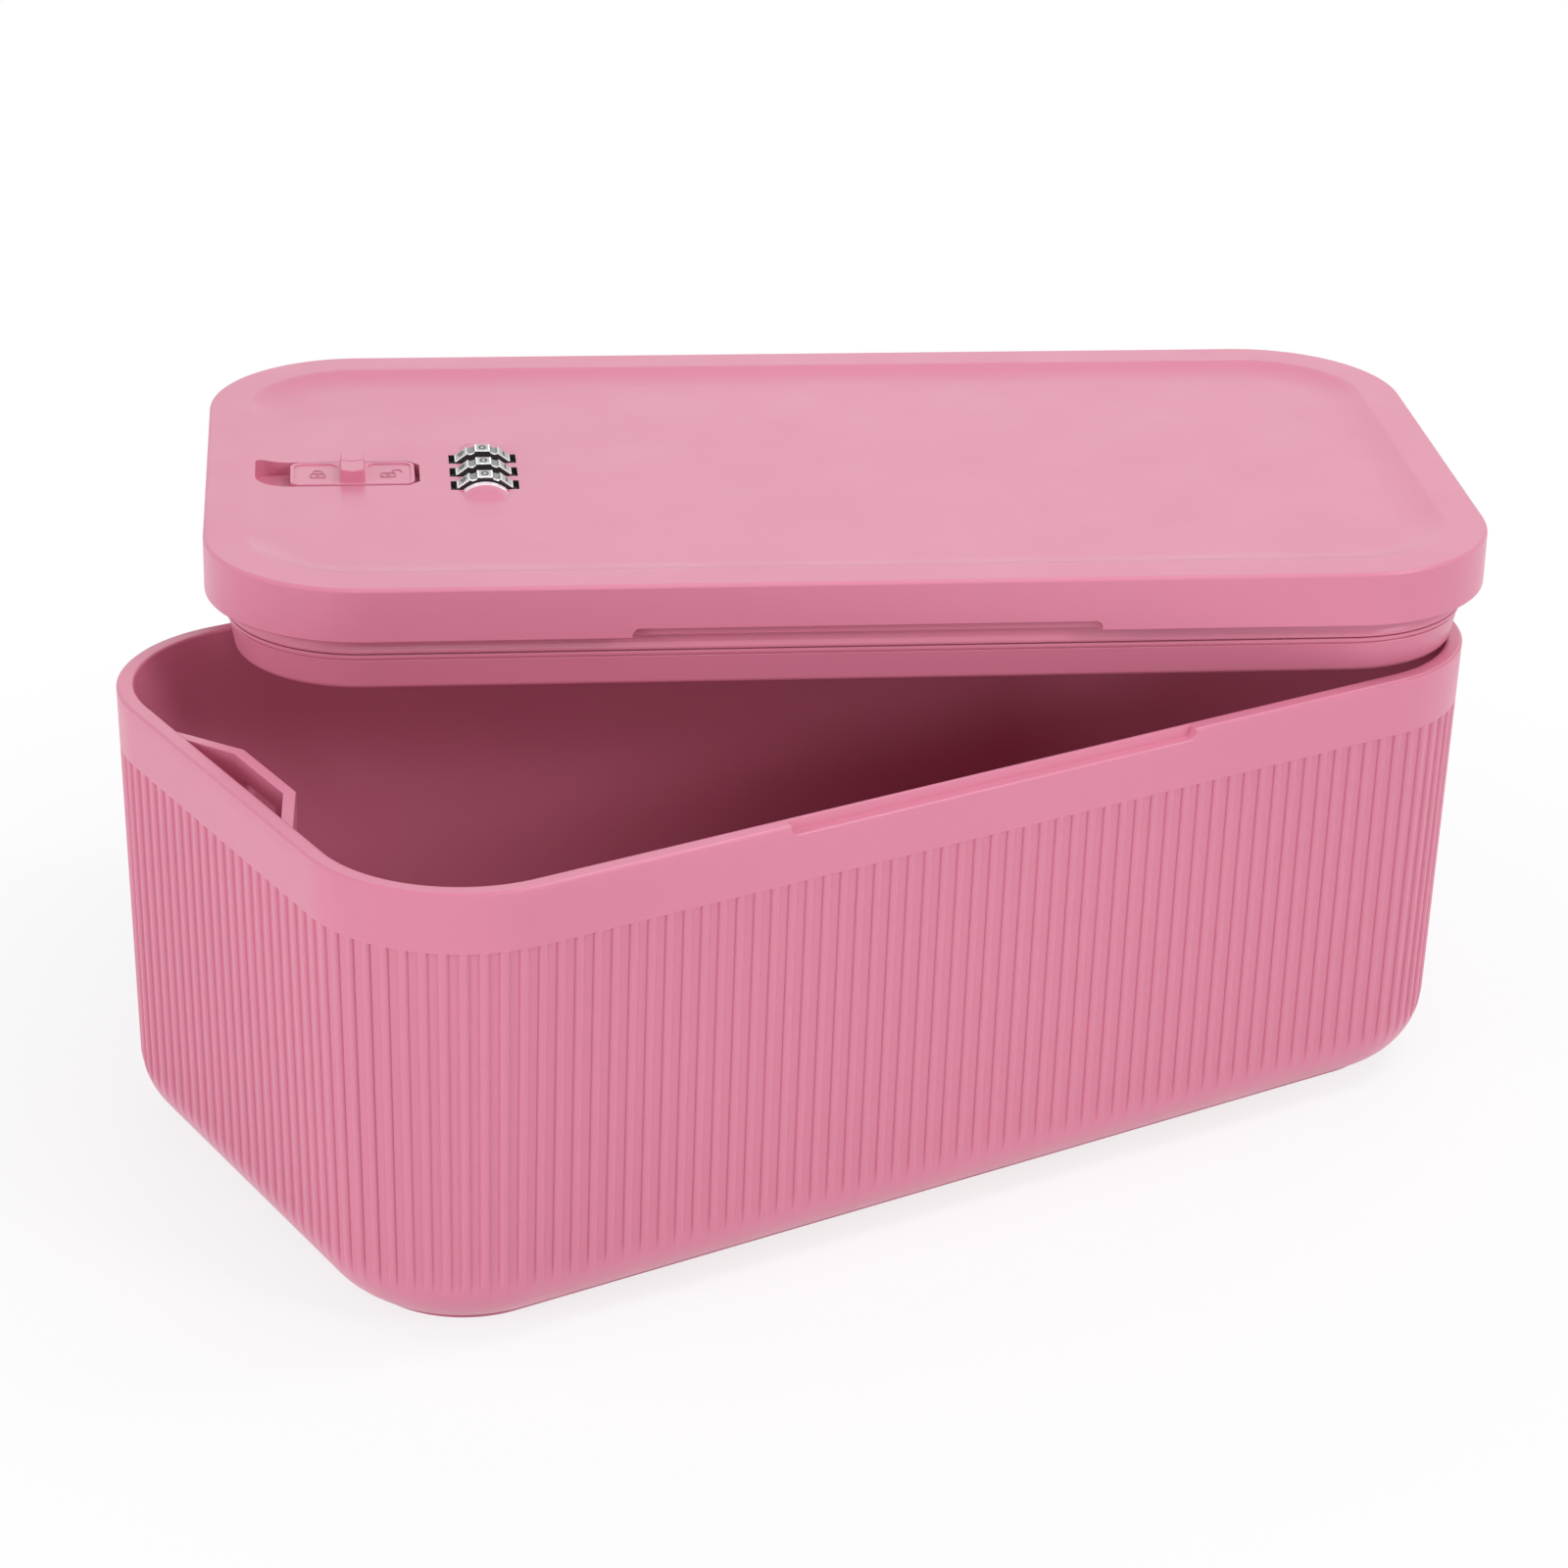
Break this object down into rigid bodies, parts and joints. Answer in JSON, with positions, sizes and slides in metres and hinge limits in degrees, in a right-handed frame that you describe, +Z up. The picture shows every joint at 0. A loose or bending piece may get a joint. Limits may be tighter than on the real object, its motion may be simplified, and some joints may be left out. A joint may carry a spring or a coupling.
{
  "type": "medication lock box",
  "caption": "Ribbed plastic bin with a lift-off lid that holds number dials and a slide latch, shown open with the lid lying askew on the rim.",
  "frame": {"origin": "middle of the bin's flat foot, on the surface it stands on", "axes": "+X along the bin's length, away from the latch pocket; +Y to the back, away from the finger notch; +Z up"},
  "size_m": [0.3203, 0.2358, 0.1279],
  "materials": {
    "shell_plastic": "satin",
    "lock_plastic": "satin",
    "dial_metal": "satin",
    "steel": "bright",
    "brass": "satin"
  },
  "bodies": {
    "bin": {"bin": "shell_plastic"},
    "lid": {"lid_top_shell": "shell_plastic", "lid_tray": "shell_plastic", "lock_frame": "lock_plastic", "bolt_guide_plate": "steel", "dial_spindle": "steel", "spindle_clip": "steel", "clutch_spring": "steel", "dial_detent_spring": "steel", "slide_detent_spring": "steel", "reset_spring": "steel", "frame_screw_1": "steel", "frame_screw_2": "steel", "frame_screw_3": "steel", "frame_screw_4": "steel", "guide_screw_1": "steel", "guide_screw_2": "steel", "tray_screw_1": "steel", "tray_screw_2": "steel", "tray_screw_3": "steel", "tray_screw_4": "steel", "tray_screw_5": "steel", "tray_screw_6": "steel"},
    "latch": {"slide_button": "shell_plastic", "bolt_carriage": "lock_plastic", "button_screw_1": "steel", "button_screw_2": "steel"},
    "dial_1": {"number_dial_1": "dial_metal", "code_cam_1": "brass"},
    "dial_2": {"number_dial_2": "dial_metal", "code_cam_2": "brass"},
    "dial_3": {"number_dial_3": "dial_metal", "code_cam_3": "brass"},
    "reset": {"reset_button": "lock_plastic"}
  },
  "joints": [
    {"name": "lid_lift", "type": "slide", "parent": "bin", "child": "lid", "axis": [0, 0, 1], "range_m": [0, 0.12]},
    {"name": "latch_slide", "type": "slide", "parent": "lid", "child": "latch", "axis": [-0.8976, 0.4407, 0], "range_m": [0, 0.007]},
    {"name": "dial_spin_1", "type": "hinge", "parent": "lid", "child": "dial_1", "pos_m": [-0.04119, 0.06871, 0.11945], "axis": [0.4407, 0.8976, 0], "continuous": true},
    {"name": "dial_spin_2", "type": "hinge", "parent": "lid", "child": "dial_2", "pos_m": [-0.03744, 0.07634, 0.11945], "axis": [0.4407, 0.8976, 0], "continuous": true},
    {"name": "dial_spin_3", "type": "hinge", "parent": "lid", "child": "dial_3", "pos_m": [-0.0337, 0.08397, 0.11945], "axis": [0.4407, 0.8976, 0], "continuous": true},
    {"name": "reset_press", "type": "slide", "parent": "lid", "child": "reset", "axis": [0, 0, 1], "range_m": [0, 0.0015], "stiffness_N_per_m": 400, "springref_m": -0.001, "deforming": ["reset_spring"]}
  ]
}
